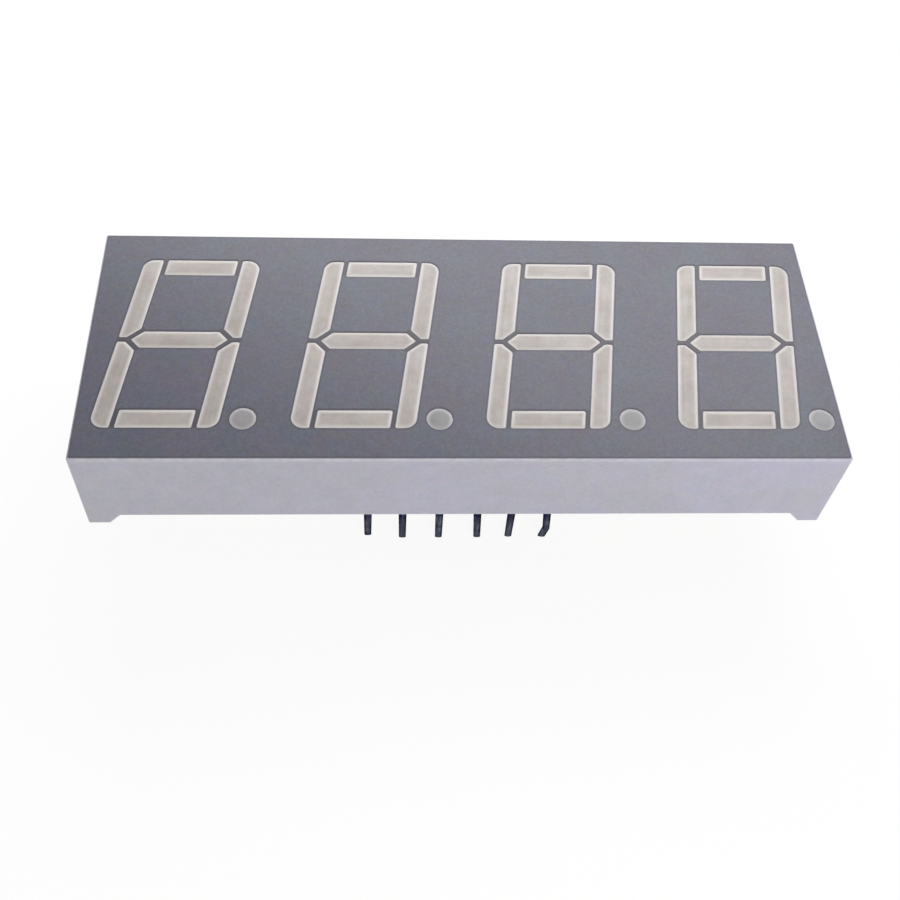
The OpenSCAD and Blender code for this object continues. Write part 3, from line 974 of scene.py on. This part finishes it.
def pale_floor(settings):
    """A pale floor that keeps the part's shadow, looks white around it and is clear from below."""
    material = bpy.data.materials.new("pale_floor")
    tree = cleared_tree(material)
    matt = add_node(tree, "BsdfDiffuse")
    soft = noise(tree, in_millimetres(tree), 0.05, 2.0)
    worn = blend(tree, soft, settings.floor, [0.97 * value for value in settings.floor])
    feed(tree, matt.inputs["Color"], worn)
    dim = add_node(tree, "BsdfDiffuse")
    feed(tree, dim.inputs["Color"], blend(tree, 1.0, worn, (0.2, 0.2, 0.2), "MULTIPLY"))
    away = add_node(tree, "VectorMath", operation="LENGTH")
    feed(tree, away.inputs[0], in_millimetres(tree))
    glow = add_node(tree, "Emission")
    level = ramp(tree, away.outputs["Value"], GLOW_NEAR, GLOW_FAR, settings.floor_glow, 1.0)
    feed(tree, glow.inputs["Strength"], level)
    seen = add_node(tree, "AddShader")
    feed(tree, seen.inputs[0], dim.outputs[0])
    feed(tree, seen.inputs[1], glow.outputs[0])
    by_ray = mix_shaders(tree, looked_at(tree), matt.outputs[0], seen.outputs[0])
    clear = add_node(tree, "BsdfTransparent")
    side = add_node(tree, "NewGeometry")
    output = add_node(tree, "OutputMaterial")
    one_sided = mix_shaders(tree, side.outputs["Backfacing"], by_ray, clear.outputs[0])
    feed(tree, output.inputs["Surface"], one_sided)
    return material


def lay_floor(settings):
    deselect_all()
    bpy.ops.mesh.primitive_plane_add(size=FLOOR_SIZE, location=(0, 0, CAD_BOX[0].z))
    floor = bpy.context.object
    floor.name = "floor"
    bpy.ops.object.transform_apply(location=True, rotation=True, scale=True)
    floor.data.materials.append(pale_floor(settings))


def hang_lamp(name, place, turn, level, size):
    """A soft lamp aimed at the part. level 1 alone would show a white surface that faces it as white."""
    deselect_all()
    target = Vector((0, 0, FACE_BOX[1].z / 2))
    reach = Vector(place) - target
    aim = reach.to_track_quat("Z", "Y") @ Quaternion((0, 0, 1), -turn)
    bpy.ops.object.light_add(type="AREA", location=place, rotation=aim.to_euler())
    lamp = bpy.context.object
    lamp.name = name
    lamp.data.shape = "RECTANGLE"
    lamp.data.size, lamp.data.size_y = size
    lamp.data.energy = level * math.pi**2 * reach.length_squared
    lamp.visible_camera = False


def light_room(level):
    """Even light from all around, which the camera sees as white."""
    world = bpy.data.worlds.new("studio_room")
    bpy.context.scene.world = world
    tree = cleared_tree(world)
    backgrounds = []
    for strength in (level, 1.0):
        node = add_node(tree, "Background")
        node.inputs["Color"].default_value = (1, 1, 1, 1)
        node.inputs["Strength"].default_value = strength
        backgrounds.append(node.outputs[0])
    output = add_node(tree, "OutputWorld")
    feed(tree, output.inputs["Surface"], mix_shaders(tree, looked_at(tree), *backgrounds))


def place_camera(settings):
    deselect_all()
    flat = math.cos(settings.elevation)
    forward, right = flat * math.cos(settings.heading), flat * math.sin(settings.heading)
    look = Vector((right, forward, -math.sin(settings.elevation)))
    turn = (-look).to_track_quat("Z", "Y") @ Quaternion((0, 0, 1), settings.roll)
    place = Vector(settings.aim) - look * settings.distance
    bpy.ops.object.camera_add(location=place, rotation=turn.to_euler())
    camera = bpy.context.object
    camera.name = "camera"
    camera.data.lens = settings.lens
    camera.data.sensor_width = 36
    camera.data.shift_y = settings.rise
    camera.data.clip_start = 0.001
    camera.data.clip_end = 10
    bpy.context.scene.camera = camera


class DISPLAY_OT_build_studio(bpy.types.Operator):
    """Lay the floor, hang the lamps, light the room and place the camera"""

    bl_idname = "display.build_studio"
    bl_label = "Build the studio"

    def execute(self, context):
        settings = context.scene.display_studio
        lay_floor(settings)
        hang_lamp("key_lamp", settings.key_place, settings.key_turn, settings.key_level, KEY_SIZE)
        hang_lamp("fill_lamp", settings.fill_place, 0.0, settings.fill_level, FILL_SIZE)
        light_room(settings.room_level)
        place_camera(settings)
        context.scene.view_settings.view_transform = "Standard"
        return {"FINISHED"}


STEPS = (
    DISPLAY_OT_finish_housing,
    DISPLAY_OT_print_face,
    DISPLAY_OT_cast_bars,
    DISPLAY_OT_cast_points,
    DISPLAY_OT_finish_board,
    DISPLAY_OT_finish_dies,
    DISPLAY_OT_finish_potting,
    DISPLAY_OT_finish_pins,
    DISPLAY_OT_build_studio,
)


class DISPLAY_PT_steps(bpy.types.Panel):
    """The steps that finish the display"""

    bl_idname = "DISPLAY_PT_steps"
    bl_label = "Display"
    bl_space_type = "VIEW_3D"
    bl_region_type = "UI"
    bl_category = "Display"

    def draw(self, context):
        for step in STEPS:
            self.layout.operator(step.bl_idname)
        for name in SETTINGS:
            group = getattr(context.scene, name)
            box = self.layout.box()
            for label in group.__annotations__:
                box.prop(group, label)


def register():
    for name, group in SETTINGS.items():
        bpy.utils.register_class(group)
        setattr(bpy.types.Scene, name, PointerProperty(type=group))
    for made in (*STEPS, DISPLAY_PT_steps):
        bpy.utils.register_class(made)


def unregister():
    for made in reversed((*STEPS, DISPLAY_PT_steps)):
        bpy.utils.unregister_class(made)
    for name, group in SETTINGS.items():
        delattr(bpy.types.Scene, name)
        bpy.utils.unregister_class(group)


def main():
    register()
    for step in STEPS:
        category, name = step.bl_idname.split(".")
        getattr(getattr(bpy.ops, category), name)()


if __name__ == "__main__":
    main()
